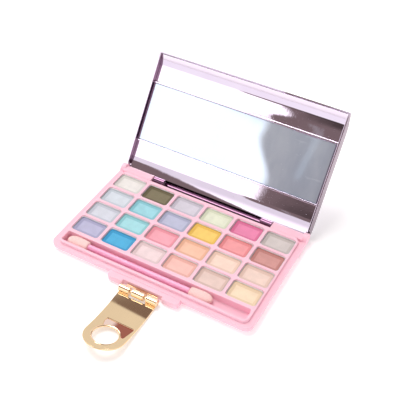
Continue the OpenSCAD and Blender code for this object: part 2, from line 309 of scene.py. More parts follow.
class Paint:
    # builds one material's nodes, or those of a given tree
    def __init__(self, name, tree=None):
        if tree is None:
            self.material = bpy.data.materials.new(name)
            self.material.use_nodes = True
            tree = self.material.node_tree
        self.tree = tree
        tree.nodes.clear()

    def node(self, kind, settings=None, inputs=None, output=0):
        n = self.tree.nodes.new(kind)
        for key, value in (settings or {}).items():
            setattr(n, key, value)
        for key, value in (inputs or {}).items():
            target = n.inputs[key]
            if isinstance(value, Socket):
                self.tree.links.new(value.socket, target)
            else:
                target.default_value = value
        return Socket(self, n.outputs[output])

    def attribute(self, name):
        return self.node("ShaderNodeAttribute", {"attribute_name": name}, output="Fac")

    def split(self, where):
        # x, y and z of a vector
        return [Socket(self, part) for part in
                self.node("ShaderNodeSeparateXYZ", {}, {"Vector": where}).socket.node.outputs]

    def place(self, scale=(1, 1, 1), turn=(0, 0, 0)):
        where = self.node("ShaderNodeTexCoord", output="Object")
        return self.node("ShaderNodeMapping", {}, {"Vector": where, "Scale": scale, "Rotation": turn})

    def noise(self, scale, detail=2.0, where=None, rough=0.5):
        return self.node("ShaderNodeTexNoise", {}, {"Vector": where or self.place(), "Scale": scale,
                                                    "Detail": detail, "Roughness": rough})

    def blend(self, amount, first, second):
        # from the first colour at 0 to the second at 1
        first, second = (c if isinstance(c, Socket) else tuple(c) + (1,) for c in (first, second))
        return self.node("ShaderNodeMix", {"data_type": "RGBA"}, {0: amount, 6: first, 7: second}, 2)

    def bump(self, height, strength, distance, after=None):
        inputs = {"Height": height, "Strength": strength, "Distance": distance}
        if after is not None:
            inputs["Normal"] = after
        return self.node("ShaderNodeBump", {}, inputs)

    def surface(self, **sockets):
        shader = self.node("ShaderNodeBsdfPrincipled", {}, sockets)
        out = self.tree.nodes.new("ShaderNodeOutputMaterial")
        self.tree.links.new(shader.socket, out.inputs["Surface"])
        return self.material


def tone(r, g, b):
    # display values 0-255 as linear light
    c = np.array([r, g, b], float) / 255
    return tuple(float(x) for x in np.where(c < 0.04045, c / 12.92, ((c + 0.055) / 1.055) ** 2.4))


def shade(colour, factor):
    return tuple(min(1.0, c * factor) for c in colour)


def pinkPlastic():
    # glossy moulded plastic with faint clouds, and light that spreads a little under the skin
    p = Paint("pinkPlastic")
    base = tone(255, 203, 217)
    cloud = p.noise(60, 3).above(0.35, 0.7)
    colour = p.blend(cloud, shade(base, 0.985), shade(base, 1.015))
    grain = p.noise(2600, 2)
    rough = p.noise(220, 3) * 0.1 + 0.33
    return p.surface(**{"Base Color": colour, "Roughness": rough, "Specular IOR Level": 0.4,
                        "Subsurface Weight": 0.12, "Subsurface Scale": 0.002,
                        "Subsurface Radius": (1.0, 0.45, 0.5),
                        "Normal": p.bump(grain, 0.05, 0.00002)})


def metalPaint(name, colour, rough, scuff=0.03, notch=False):
    # bright metal with brushed scuffs and dust, and, where asked, a painted reflection on a sunk area
    p = Paint(name)
    base = tone(*colour)
    marks = p.noise(900, 4, p.place((1, 0.15, 0.4), (0.3, 0.2, 0.7)), 0.7).above(0.62, 0.8)
    dust = p.noise(3500, 2).above(0.72, 0.8)
    rough = marks * scuff + dust * (scuff * 2) + rough
    toneAndPaintedLight = p.blend(p.noise(40, 2).above(0.3, 0.7), shade(base, 0.97), shade(base, 1.02))
    if notch:
        # painted reflection on the sunk area: a copper-brown reflection of the pink case, paler at its left
        # end
        reflectionFade = p.split(p.place())[0].above(-0.002, 0.0012)
        notchPaintedReflection = p.blend(reflectionFade, tone(255, 226, 214), tone(172, 104, 88))
        toneAndPaintedLight = p.blend(p.attribute("notch"), toneAndPaintedLight, notchPaintedReflection)
    return p.surface(**{"Base Color": toneAndPaintedLight, "Metallic": 1.0, "Roughness": rough})


def metallisedPaint():
    # bright metal film on lilac plastic, with painted shade in a darker mauve on the faces marked as walls
    p = Paint("metallisedPlastic")
    wall = p.attribute("wall")
    cloud = p.noise(60, 2).above(0.3, 0.7)
    film = p.blend(cloud, tone(233, 220, 237), tone(237, 225, 240))
    # painted shade: the faces marked as walls take a darker mauve
    toneAndPaintedLight = p.blend(wall, film, tone(124, 92, 114))
    specks = p.noise(1500, 4, rough=0.75).above(0.68, 0.74)
    rough = specks * 0.25 + wall * 0.1 + 0.025
    waves = p.noise(70, 2)
    fine = p.noise(900, 3)
    normal = p.bump(specks, 0.3, 0.00003, p.bump(fine, 0.04, 0.00006, p.bump(waves, 0.035, 0.001)))
    return p.surface(**{"Base Color": toneAndPaintedLight, "Metallic": 1.0, "Roughness": rough, "Normal": normal})


def mirrorPaint():
    # silvered glass with a faint bluish bloom, wiping marks and specks of dust
    p = Paint("mirrorGlass")
    smear = p.noise(45, 4, p.place((1, 0.4, 0.4), (0.3, 0.2, 0.9)), 0.6).above(0.35, 0.75)
    wipe = p.noise(500, 3, p.place((0.12, 1, 0.3), (0.2, 0.5, 0.6)), 0.7).above(0.6, 0.72)
    dust = p.noise(1300, 3, rough=0.8).above(0.72, 0.76)
    bloom = smear * 0.1 + wipe * 0.06 + dust * 0.5
    colour = p.blend(smear, tone(214, 230, 248), tone(222, 234, 246))
    return p.surface(**{"Base Color": p.blend(dust * 0.7, colour, (1.0, 1.0, 1.0)), "Metallic": 0.7 - bloom,
                        "Roughness": 0.02 + wipe * 0.03 + dust * 0.3, "Specular IOR Level": 0.3})


def tapePaint():
    # foam cells, grey in the shade behind the pane
    p = Paint("foamTape")
    cells = p.node("ShaderNodeTexVoronoi", {}, {"Vector": p.place(), "Scale": 2500})
    colour = p.blend(cells.above(0.1, 0.6), tone(120, 120, 122), tone(170, 170, 172))
    return p.surface(**{"Base Color": colour, "Roughness": 0.9, "Normal": p.bump(cells, 0.3, 0.0001)})


def stickPaint():
    # glossy plastic a little more magenta than the case
    p = Paint("stickPlastic")
    cloud = p.noise(120, 2).above(0.3, 0.7)
    colour = p.blend(cloud, tone(252, 176, 210), tone(255, 184, 215))
    return p.surface(**{"Base Color": colour, "Roughness": p.noise(400, 2) * 0.1 + 0.22,
                        "Subsurface Weight": 0.15, "Subsurface Scale": 0.001,
                        "Subsurface Radius": (1.0, 0.5, 0.6)})


def spongePaint():
    # latex foam: open pores in a fine grain, with painted shade in the pores
    p = Paint("spongeFoam")
    pores = p.node("ShaderNodeTexVoronoi", {}, {"Vector": p.place(), "Scale": 2600})
    fine = p.noise(5200, 3)
    pit = pores.above(0.15, 0.5)
    # painted shade: the pores are darker
    colour = p.blend(pit, tone(238, 190, 186), tone(255, 214, 208))
    normal = p.bump(fine, 0.25, 0.00008, p.bump(pit, 0.35, 0.00012))
    return p.surface(**{"Base Color": colour, "Roughness": 0.92, "Sheen Weight": 0.3,
                        "Subsurface Weight": 0.15, "Subsurface Scale": 0.0012,
                        "Subsurface Radius": (1.0, 0.6, 0.55), "Normal": normal})


materials = {
    "pink": pinkPlastic(),
    "pan": metalPaint("panMetal", (226, 222, 222), 0.28),
    "lilac": metallisedPaint(),
    "glass": mirrorPaint(),
    "gold": metalPaint("goldMetal", (247, 218, 178), 0.05, 0.02, notch=True),
    "steel": metalPaint("pinSteel", (205, 203, 200), 0.22),
    "tape": tapePaint(),
    "stick": stickPaint(),
    "sponge": spongePaint(),
}

# each shade's colour in display values, and how much it shimmers
shades = {
    "cream_white": ((235, 232, 226), 0.2), "olive_green": ((126, 117, 88), 0.3),
    "lilac_grey": ((216, 211, 220), 0.5), "pale_lime": ((232, 236, 211), 0.3),
    "magenta": ((237, 138, 176), 0.2), "silver_grey": ((213, 204, 199), 0.5),
    "ice_blue": ((215, 223, 230), 0.4), "aqua": ((160, 217, 226), 0.5),
    "periwinkle": ((191, 194, 216), 0.6), "golden_yellow": ((249, 210, 111), 0.2),
    "coral_red": ((246, 163, 165), 0.2), "mauve_brown": ((211, 153, 146), 0.3),
    "pale_lavender": ((215, 219, 228), 0.5), "mint": ((167, 222, 227), 0.6),
    "rose_pink": ((248, 172, 184), 0.2), "apricot": ((250, 201, 173), 0.2),
    "peach_cream": ((250, 221, 203), 0.2), "beige": ((243, 216, 202), 0.3),
    "violet": ((189, 188, 216), 0.6), "azure_blue": ((78, 179, 223), 0.7),
    "blush_white": ((242, 220, 220), 0.3), "salmon": ((250, 199, 188), 0.2),
    "greige": ((234, 208, 197), 0.4), "vanilla": ((250, 226, 195), 0.2),
}


def powderPaint(name, colour, shimmer):
    # pressed powder: fine grain, small clouds, glittering flecks, and painted shade on the sloping border
    p = Paint("powder_" + name)
    base = tone(*colour)
    grain = p.noise(2400, 4, rough=0.7)
    cloud = p.noise(300, 3).above(0.3, 0.7)
    flecks = p.node("ShaderNodeTexVoronoi", {}, {"Vector": p.place(), "Scale": 5200}, "Distance")
    glint = (1 - flecks.above(0.12, 0.24)) * p.noise(4100, 1).above(0.5, 0.6)
    # painted shade: the sloping border takes a deeper copy of the colour
    borderShade = p.attribute("border")
    flat = p.blend(cloud, shade(base, 0.95), shade(base, 1.04))
    deep = tuple(c ** 1.25 * 0.86 for c in base)
    colour = p.blend(borderShade, flat, deep)
    colour = p.blend(grain.above(0.35, 0.75) * 0.25, colour, shade(base, 0.8))
    colour = p.blend(glint * (0.5 * shimmer), colour, (1.0, 1.0, 1.0))
    rough = 0.82 - glint * 0.4
    normal = p.bump(grain, 0.35, 0.00006, p.bump(cloud, 0.2, 0.0001))
    return p.surface(**{"Base Color": colour, "Roughness": rough, "Metallic": glint * (0.5 * shimmer),
                        "Sheen Weight": 0.15, "Normal": normal})


baseSize = {"x": 52.5, "front": -33.0, "rear": 26.9, "corner": 4.0, "roll": 2.6, "ledge": 4.0, "floor": 1.0,
            "edge": 0.35, "pocketX": 49.1, "pocketFront": -30.4, "pocketRear": 25.9,
            "bracketX": 18.4, "bracketFront": -36.4, "bracketRear": -31.0, "bracketLow": 0.6,
            "bracketTop": 3.7, "recessX": 10.3, "recessY": -35.0, "slitX": 8.1, "slitFront": -36.0,
            "slitRear": -32.0, "slitLow": 1.2, "slitTop": 2.2}
hinge = {"y": 30.2, "z": 3.6, "barrel": 1.9, "block0": 33.7, "lug0": 49.8, "lug": 2.8, "top": 5.5,
         "blockFront": 26.7, "blockStep": 26.82, "stepRise": 0.2, "lugFront": 18.9, "lugRise": 0.4,
         "knuckle0": 27.2, "knuckle1": 33.4, "knuckle": 1.8, "pin": 0.8, "pinLength": 12.0}


def baseBody(b):
    # the tub: underside, rolled lower edge, wall, ledge, then down into the pocket that the tray sits in
    a = np.linspace(0, math.pi / 2, 9)
    roll = [[b["roll"] * (1 - math.sin(t)), b["roll"] * (1 - math.cos(t))] for t in a]
    outer = [[b["roll"] + 0.1, 0]] + roll + [[0, b["ledge"]], [1.0, b["ledge"]]]
    outer = ease(outer, [0] * 10 + [b["edge"], 0], 5)
    i, z = outer.T
    rearInset = np.minimum(i, 0.35)
    rows = np.stack([-b["x"] + i, b["x"] - i, b["front"] + i, b["rear"] - rearInset,
                     np.maximum(b["corner"] - i, 1.2), z], -1)
    pocket = [-b["pocketX"], b["pocketX"], b["pocketFront"], b["pocketRear"], 2.0]
    rows = np.concatenate([rows, [pocket + [b["ledge"]], pocket + [b["floor"]]]])
    return solid(ringStack(rows, 12, 6))


def bracketBody(b):
    # flange on the front with a notch for the clasp's barrel
    x, f, rx, ry = b["bracketX"], b["bracketFront"], b["recessX"], b["recessY"]
    rear = b["bracketRear"]
    corners = [[-x, rear], [-x, f], [-rx, f], [-rx, ry], [rx, ry], [rx, f], [x, f], [x, rear]]
    outline = ease(corners, [0, 1.8, 0.6, 0.3, 0.3, 0.6, 1.8, 0], 6, 0, closed=True)
    return solid(plate(outline, softEnds(b["bracketLow"], b["bracketTop"], 0.25)))


def hingeParts(b, h):
    # at each rear corner a half-round block along the edge, and a larger round lug that holds the pin
    y, z, front, step, ledge = h["y"], h["z"], h["blockFront"], h["blockStep"], h["z"] + h["stepRise"]
    neck = np.concatenate([[[front, z - h["barrel"]]], arc(y, z, h["barrel"], -90, 90, 16),
                           [[step, h["top"]], [step, ledge], [front, ledge]]])
    block = alongX(plate(neck, softEnds(h["block0"], h["lug0"] + 0.6, 0.25)))
    lug = np.concatenate([[[h["lugFront"], z - h["lug"]]], arc(y, z, h["lug"], -90, 172, 26),
                          [[h["lugFront"], z + h["lugRise"]]]])
    ear = alongX(plate(lug, softEnds(h["lug0"], b["x"], 0.3)))
    return [solid(part * [side, 1, 1]) for side in (-1, 1) for part in (block, ear)]


def makeBase(b, h):
    # tub, bracket and hinge parts joined, then bored for the pins and slit for the clasp's leaf
    obj = objectFrom("baseShell", [baseBody(b)])
    carve(obj, [bracketBody(b)] + hingeParts(b, h), "UNION")
    bore = turned(rodProfile(h["knuckle0"], h["knuckle0"] + h["pinLength"] + 0.6, h["pin"] + 0.01, 0.05), 32)
    bores = [solid((bore + [0, h["y"], h["z"]]) * [side, 1, 1]) for side in (-1, 1)]
    slit = [-b["slitX"], b["slitX"], b["slitFront"], b["slitRear"], 0.1]
    slitBox = ringStack([slit + [b["slitLow"]], slit + [b["slitTop"]]], 2, 1)
    carve(obj, bores + [solid(slitBox)], "DIFFERENCE")
    dress(smooth(obj), materials["pink"], "base", ["base_shell"])


makeBase(baseSize, hinge)
print("base done")


tray = {"x": 49.5, "front": -30.9, "rear": 26.8, "corner": 3.0, "top": 5.5, "ledge": 4.0, "under": 1.1,
        "bodyX": 49.0, "bodyFront": -30.3, "bodyRear": 25.8, "edge": 0.3,
        "pitchX": 16.5, "pitchY": 11.92, "rowsY": 1.8, "wellX": 7.525, "wellY": 5.235, "wellCorner": 1.6,
        "wellFloor": 2.2, "wellEdge": 0.24, "slotX": 48.2, "slotFront": -29.415, "slotRear": -23.215,
        "slotFloor": 1.6, "slotCorner": 1.0, "slotEdge": 0.3}


def wellCentre(row, column):
    # row 0 is at the back, column 0 at the left
    return (column - 2.5) * tray["pitchX"], tray["rowsY"] + (1.5 - row) * tray["pitchY"]


def holeRows(x0, x1, y0, y1, corner, top, floor, edge, foot):
    # mouth of a hole: flat, over a rounded edge, down the wall and round into the floor
    profile = ease([[-edge - 0.6, top], [0, top], [0, floor], [1.5, floor]], [0, edge, foot, 0], 5, 0.03)
    profile = profile[profile[:, 0] > -edge - 0.05]
    return insetRows(x0, x1, y0, y1, corner, profile)


def makeTray(t):
    # top face filled between the plateau's rim and the mouths of the 24 wells and the slot
    a = np.linspace(0, math.pi / 2, 6)
    e = t["edge"]
    curve = [[e * (1 - math.cos(k)), t["top"] - e * (1 - math.sin(k))] for k in a]
    profile = [[0, t["ledge"]], [0, t["top"] - e - 0.04]] + curve + [[e + 0.03, t["top"]]]
    rows = insetRows(-t["x"], t["x"], t["front"], t["rear"], t["corner"], profile)
    # the rear edge is crisper, where it meets the hinge blocks
    rows[:, 3] = t["rear"] - 0.4 * (rows[:, 0] + t["x"])
    body = [-t["bodyX"], t["bodyX"], t["bodyFront"], t["bodyRear"], 2.0]
    rows = np.concatenate([[body + [t["under"]], body + [t["ledge"]]], rows])
    outer = ringStack(rows, 10, 8)
    holes = []
    for row in range(4):
        for column in range(6):
            cx, cy = wellCentre(row, column)
            well = holeRows(cx - t["wellX"], cx + t["wellX"], cy - t["wellY"], cy + t["wellY"],
                            t["wellCorner"], t["top"], t["wellFloor"], t["wellEdge"], 0.2)
            holes.append(ringStack(well, 8, 3))
    slot = holeRows(-t["slotX"], t["slotX"], t["slotFront"], t["slotRear"],
                    t["slotCorner"], t["top"], t["slotFloor"], t["slotEdge"], 0.5)
    holes.append(ringStack(slot, 8, 16))
    loops = [outer[-1]] + [hole[0] for hole in holes]
    flat = np.concatenate(loops)
    edges, start = [], 0
    for loop in loops:
        n = len(loop)
        edges += [(start + k, start + (k + 1) % n) for k in range(n)]
        start += n
    flat = [Vector(p[:2]) for p in flat]
    verts, _, faces, origin, *_ = geometry.delaunay_2d_cdt(flat, edges, [], 1, 1e-7)
    top = np.array([[v.x, v.y, t["top"]] for v in verts])
    owner = np.repeat(np.arange(len(loops)), [len(loop) for loop in loops])[[first[0] for first in origin]]
    # a triangle whose corners all lie on one hole's mouth is inside that hole
    triangles = np.array([list(f) for f in faces])
    mouths = owner[triangles]
    inside = (mouths[:, 0] == mouths[:, 1]) & (mouths[:, 1] == mouths[:, 2]) & (mouths[:, 0] > 0)
    parts = [(top, triangles[~inside].tolist())]
    for k, rings in enumerate([outer] + holes):
        # the outside is closed by its lowest ring, which is its first, and each hole by its last
        rows, columns = rings.shape[:2]
        last = (rows - 1) * columns
        cap = list(range(last, last + columns)) if k else list(range(columns - 1, -1, -1))
        parts.append((rings.reshape(-1, 3), gridFaces(rows, columns).tolist() + [cap]))
    obj = objectFrom("panTray", parts)
    merge(obj)
    bm = bmesh.new()
    bm.from_mesh(obj.data)
    bmesh.ops.recalc_face_normals(bm, faces=bm.faces)
    print("tray open edges:", sum(len(edge.link_faces) != 2 for edge in bm.edges))
    bm.to_mesh(obj.data)
    bm.free()
    dress(smooth(obj, 40), materials["pink"], "base", ["pan_tray"])


makeTray(tray)

pan = {"gap": 0.1, "wall": 0.3, "rim": 5.0, "floor": 2.5}


def makePans(row):
    # six shallow sheet trays with a rounded rim
    t = tray
    parts = []
    for column in range(6):
        cx, cy = wellCentre(row, column)
        x, y = t["wellX"] - pan["gap"], t["wellY"] - pan["gap"]
        profile = [[1.0, t["wellFloor"]], [0, t["wellFloor"]], [0, pan["rim"]],
                   [pan["wall"], pan["rim"]], [pan["wall"], pan["floor"]], [1.5, pan["floor"]]]
        profile = ease(profile, [0, 0.3, 0.13, 0.13, 0.2, 0], 4, 0.02)
        rows = insetRows(cx - x, cx + x, cy - y, cy + y, t["wellCorner"], profile)
        parts.append(solid(ringStack(rows, 8, 2)))
    obj = objectFrom(f"pansRow{row + 1}", parts)
    dress(smooth(obj, 50), materials["pan"], "base", [f"pans_row_{row + 1}"])


powder = {"gap": 0.45, "low": 2.5, "top": 4.6, "corner": 1.3, "lip": 0.45, "border": 1.75, "dish": 0.45,
          "ripple": 0.008}
seeded = np.random.default_rng(7)


def makePowder(row, column, name):
    # a cake with a worn rim, a border that slopes down, and a flat pressed middle with faint ripples
    t, s = tray, powder
    cx, cy = wellCentre(row, column)
    x, y = t["wellX"] - s["gap"], t["wellY"] - s["gap"]
    low = s["top"] - s["dish"]
    profile = [[0.6, s["low"]], [0, s["low"]], [0, s["top"] - 0.05], [s["lip"], s["top"]],
               [s["border"], low], [s["border"] + 0.6, low]]
    profile = ease(profile, [0, 0.1, 0.2, 0.25, 0.3, 0], 5, 0.04)
    rows = insetRows(cx - x, cx + x, cy - y, cy + y, s["corner"], profile)
    last = rows[-1]
    shrink = np.linspace(0, 1, 10)[1:, None]
    middle = np.array([cx - 1.2, cx + 1.2, cy - 0.1, cy + 0.1, 0.02, last[5]])
    rows = np.concatenate([rows, last * (1 - shrink) + middle * shrink])
    points = ringStack(rows, 8, 10)
    inset = np.concatenate([profile[:, 0], np.full(len(shrink), 9.0)])
    shift = seeded.uniform(0, 6, 4)
    wave = np.sin(points[..., 0] * 2.1 + shift[0]) * np.sin(points[..., 1] * 2.7 + shift[1]) \
        + 0.6 * np.sin(points[..., 0] * 5.3 + shift[2]) * np.sin(points[..., 1] * 4.7 + shift[3])
    onTop = points[..., 2] > s["low"] + 1.0
    points[..., 2] += np.where(onTop, s["ripple"] * wave, 0)
    obj = objectFrom("powder." + name, [solid(points)])
    # the sloping border is marked for the powder's painted shade
    border = 1 - np.clip((inset - s["border"] + 0.35) / 0.35, 0, 1)
    mark(obj, "border", "POINT", np.repeat(border, points.shape[1]))
    node = "powder_" + name
    dress(smooth(obj, 60), powderPaint(name, *shades[name]), "base", [node])


for row in range(4):
    makePans(row)
for index, name in enumerate(shades):
    makePowder(index // 6, index % 6, name)
print("tray, pans and powders done")


lid = {"open": 125.6, "x": 51.6, "wall": 1.4, "side": 1.0, "rim": 0.5, "reach": 63.0, "thick": 6.9,
       "edge": 0.2, "cheek": 3.4, "clear": 3.9, "clearX": 49.5, "bore": 0.86, "bore0": 26.0, "bore1": 34.5,
       "hingeZone": 4.4}
liner = {"gap": 0.1, "depth": 2.9, "thick": 1.4, "bevelReach": 56.2, "bevelRadius": 20.3, "bevelFrom": 8.0,
         "bevelTo": 25.4, "coveReach": 9.0, "coveEnd": 1.5, "coveRadius": 22.3, "rail": 0.9, "proud": 0.45}
mirror = {"x": 49.7, "low": 17.0, "high": 47.0, "depth": 2.3, "thick": 1.2, "tape": 0.15}


def lidPlace(points):
    # drawn closed, as seen from the hinge line, then swung open about it
    a = math.radians(-lid["open"])
    x, y, z = points[..., 0], points[..., 1], points[..., 2]
    return np.stack([x, hinge["y"] + y * math.cos(a) - z * math.sin(a),
                     hinge["z"] + y * math.sin(a) + z * math.cos(a)], -1)


def lidPoint(reach, depth):
    # reach from the hinge line, and depth from the plane of the lid's rim
    return [-reach, lid["rim"] + depth]


def shoulder(reach, depth, flatReach, flatDepth, steps=14):
    # a quarter of an ellipse from the rim's slope to the flat of the lid
    a = np.linspace(0, math.pi / 2, steps + 1)
    return [lidPoint(flatReach + (reach - flatReach) * math.cos(t), depth + (flatDepth - depth) * math.sin(t))
            for t in a]


def lidOuter():
    # the outer skin across the lid, from the front rim to the hinge
    r, t = lid["reach"], lid["thick"]
    front = [lidPoint(r, 0), lidPoint(r - 0.1, 1.2), lidPoint(r - 1.4, 2.75)]
    rear = [lidPoint(4.5, t), lidPoint(2, 6.3), lidPoint(-0.1, 4.7),
            lidPoint(-2.1, 2.4), lidPoint(-2.7, 1.3)]
    corners = front + shoulder(r - 4.6, 4.7, r - 13, t) + rear
    return ease(corners, [0, 0.6, 1.6] + [0] * 15 + [1.2, 1.2, 1.2, 1.2, 0], 5)


def lidInner():
    # the inner skin, a wall's thickness inside the outer one
    r, t, w = lid["reach"], lid["thick"], lid["wall"]
    front = [lidPoint(r - 0.6, 0), lidPoint(r - 0.7, 1.1), lidPoint(r - 2.5, 2.6)]
    rear = [lidPoint(7.5, t - w), lidPoint(3.5, 5.1), lidPoint(1.1, 3.9),
            lidPoint(-1.2, 2.2), lidPoint(-1.7, 1.3)]
    corners = front + shoulder(r - 5.6, 4.3, r - 13, t - w) + rear
    return ease(corners, [0, 0.5, 1.2] + [0] * 15 + [2.5, 1.2, 1.2, 0.6, 0], 5)


def placed(points):
    return solid(lidPlace(points))


def lugSpaces():
    # round clearance for the base's lugs, at both rear corners
    rod = turned([[lid["clearX"], lid["clear"]], [lid["x"] + 1.4, lid["clear"]]], 64)
    return [placed(rod * [side, 1, 1]) for side in (-1, 1)]


def makeLid(l):
    # a trough along the hinge line, closed by a wall at each side and carried by two knuckles
    outer = lidOuter()
    section = np.concatenate([outer, lidInner()[::-1]])
    inside = l["x"] - l["side"]
    trough = alongX(plate(section, [[0, -inside - 0.5], [0, inside + 0.5]]))
    obj = objectFrom("lidShell", [placed(trough)])
    parts = []
    cheek = np.concatenate([outer, [lidPoint(l["cheek"], 0)]])
    web = np.array([[-0.4, 0], [-1.2, 3.6], [0.4, 3.6], [2.1, 2.2]])
    outline = np.concatenate([web, arc(0, 0, hinge["knuckle"], 20, -200, 24)])
    for side in (-1, 1):
        wall = alongX(plate(cheek, softEnds(inside, l["x"], l["edge"])))
        parts.append(placed(wall * [side, 1, 1]))
        knuckle = alongX(plate(outline, softEnds(hinge["knuckle0"], hinge["knuckle1"], 0.2)))
        parts.append(placed(knuckle * [side, 1, 1]))
    carve(obj, parts, "UNION")
    bore = turned([[l["bore0"], l["bore"]], [l["bore1"], l["bore"]]], 32)
    bores = [placed(bore * [side, 1, 1]) for side in (-1, 1)]
    carve(obj, bores + lugSpaces(), "DIFFERENCE")
    centres, normals = faceData(smooth(obj, 30))
    # side faces and those about the hinge are marked to take the lid's painted shade
    atHinge = np.hypot(centres[:, 1] - hinge["y"], centres[:, 2] - hinge["z"]) < l["hingeZone"]
    mark(obj, "wall", "FACE", (np.abs(normals[:, 0]) > 0.8) | atHinge)
    dress(obj, materials["lilac"], "lid", ["lid_shell"])


def makeLiner(n, m):
    # section across the panel: an arc that curls up at the front, a flat with two rails and the mirror's bed
    # between them, and an arc that curls up at the back. On the front arc
    # depth = depth0 - R (cos a0 - cos a) and reach = reach0 + R (sin a - sin a0).
    a = np.radians(np.linspace(n["bevelTo"], n["bevelFrom"], 25))
    a0 = math.radians(n["bevelFrom"])
    bevel = [lidPoint(n["bevelReach"] + n["bevelRadius"] * (math.sin(t) - math.sin(a0)),
                      n["depth"] - n["bevelRadius"] * (math.cos(a0) - math.cos(t))) for t in a]
    c = np.linspace(n["coveReach"], n["coveEnd"], 25)
    sink = np.sqrt(n["coveRadius"] ** 2 - (n["coveReach"] - c) ** 2) - n["coveRadius"]
    cove = [lidPoint(r, n["depth"] + s) for r, s in zip(c, sink)]
    top, bed = m["depth"] - n["proud"], m["depth"] + m["thick"] + m["tape"]
    high, low = m["high"] + n["gap"], m["low"] - n["gap"]
    bedCorners = [lidPoint(high + n["rail"], n["depth"]), lidPoint(high + n["rail"], top),
                  lidPoint(high, top), lidPoint(high, bed), lidPoint(low, bed), lidPoint(low, top),
                  lidPoint(low - n["rail"], top), lidPoint(low - n["rail"], n["depth"])]
    radii = [0, 0.12, 0.22, 0.16, 0.1, 0.1, 0.16, 0.22, 0.12, 0]
    rails = ease([bevel[-1]] + bedCorners + [cove[0]], radii, 5, 0.03)
    back = n["depth"] + n["thick"]
    under = [lidPoint(n["coveEnd"] + 0.1, 2.6), lidPoint(3, 3.5), lidPoint(n["coveReach"], back),
             lidPoint(57, back), lidPoint(60, 2.7), lidPoint(61.9, 1.3)]
    section = np.concatenate([bevel, rails[1:-1], cove, under])
    half = lid["x"] - lid["side"] - n["gap"]
    obj = objectFrom("lidLiner", [placed(alongX(plate(section, [[0, -half], [0, half]])))])
    carve(obj, lugSpaces(), "DIFFERENCE")
    dress(smooth(obj, 24), materials["lilac"], "lid", ["lid_liner"])


def makeMirror(m):
    # pane with a narrow polished bevel, and the tape that holds it
    x, low, high, t = m["x"], m["low"], m["high"], m["thick"]
    z = lid["rim"] + m["depth"]
    profile = [[0.2, z + t], [0, z + t - 0.1], [0, z + 0.25], [0.06, z + 0.14], [0.22, z], [0.3, z]]
    rows = insetRows(-x, x, -high, -low, 0.5, profile)
    obj = objectFrom("mirrorPane", [placed(ringStack(rows, 4, 2))])
    dress(smooth(obj, 20), materials["glass"], "lid", ["mirror"])
    rows = insetRows(-x, x, -high + 2, -low - 2, 0.5, softEnds(z + t, z + t + m["tape"], 0.03, 2))
    obj = objectFrom("mirrorTape", [placed(ringStack(rows, 4, 2))])
    dress(smooth(obj, 40), materials["tape"], "lid", ["mirror_tape"])


button = {"reach": 45.0, "radius": 4.7, "height": 4.4, "dome": 0.8, "sunk": 0.3}


def makeButton(b):
    # catch on the outside of the lid: a short post with a softly domed top
    top = lid["rim"] + lid["thick"]
    a = np.linspace(0, math.pi / 2, 10)
    dome = [[top + b["height"] - b["dome"] * (1 - math.sin(t)), b["radius"] * math.cos(t) ** 0.6 + 0.02]
            for t in a]
    profile = [[top - b["sunk"], b["radius"] - 0.2], [top - b["sunk"], b["radius"]]] + dome
    obj = objectFrom("catchButton", [placed(turned(profile, 64, "z") + [0, -b["reach"], 0])])
    dress(smooth(obj, 35), materials["gold"], "lid", ["catch_button"])


def makePins():
    h = hinge
    rod = turned(rodProfile(h["knuckle0"], h["knuckle0"] + h["pinLength"], h["pin"], 0.15), 32)
    for side, end in ((-1, "left"), (1, "right")):
        obj = objectFrom("hingePin" + end.capitalize(), [solid((rod + [0, h["y"], h["z"]]) * [side, 1, 1])])
        dress(smooth(obj), materials["steel"], "base", ["hinge_pin_" + end])


makeLid(lid)
makeLiner(liner, mirror)
makeMirror(mirror)
makeButton(button)
makePins()
print("lid done")


clasp = {"y": -38.6, "z": 2.3, "radius": 1.8, "pin": 0.6, "half": 9.8, "gap": 4.4, "middle": 3.0,
         "width": 9.5, "thick": 0.9, "drop": 1.1, "flat": 7.4, "curve": 75.0, "reach": 26.4, "hole": 5.6,
         "lip": 6.5, "lipHeight": 0.1, "notchLine": 16.7, "notchLeft": -5.5, "notchRight": 8.6,
         "notchDepth": 0.5, "notchSlope": 0.225, "edge": 0.22, "leafLow": 1.3, "leafThick": 0.8,
         "arm": (3, -34.8), "foot": (8, -35.6, -32.2)}


def claspRise(y):
    # height of the plate above its flat start, at a distance y from the pin: R - sqrt(R^2 - (y - flat)^2)
    d = np.maximum(y - clasp["flat"], 0)
    return clasp["curve"] - np.sqrt(clasp["curve"] ** 2 - d ** 2)


def rise01(x, low, high):
    # 3t^2 - 2t^3 between low and high
    t = np.clip((x - low) / (high - low), 0, 1)
    return t * t * (3 - 2 * t)


def thumbNotch(c):
    # cutter for the sunk area between a straight line across the plate and the ring about the hole:
    # a flat floor that climbs from the line towards the ring, and walls that lean out a little
    line, left, right = c["notchLine"], c["notchLeft"], c["notchRight"]
    ring = [[c["lip"] * math.cos(t), c["reach"] - c["lip"] * math.sin(t)]
            for t in np.radians(np.linspace(21, 133, 24))]
    corners = [[left, line + 1.9], [left + 0.3, line], [right, line], [right - 1.3, line + 7.4]] + ring
    outline = ease(corners, [0.7, 0.5, 0.9, 0.6] + [0] * 24, 6, 0.03, closed=True)
    rings = plate(outline, [[0.12, 0], [0, 0], [-0.1, 0]])
    y = rings[..., 1]
    floor = -c["drop"] + claspRise(line + 0.2) - c["notchDepth"] + c["notchSlope"] * (y - line)
    level = np.array([0, 0.12, 3.0])[:, None] * np.ones_like(y)
    return solid(np.stack([rings[..., 0], c["y"] - y, c["z"] + floor + level], -1))


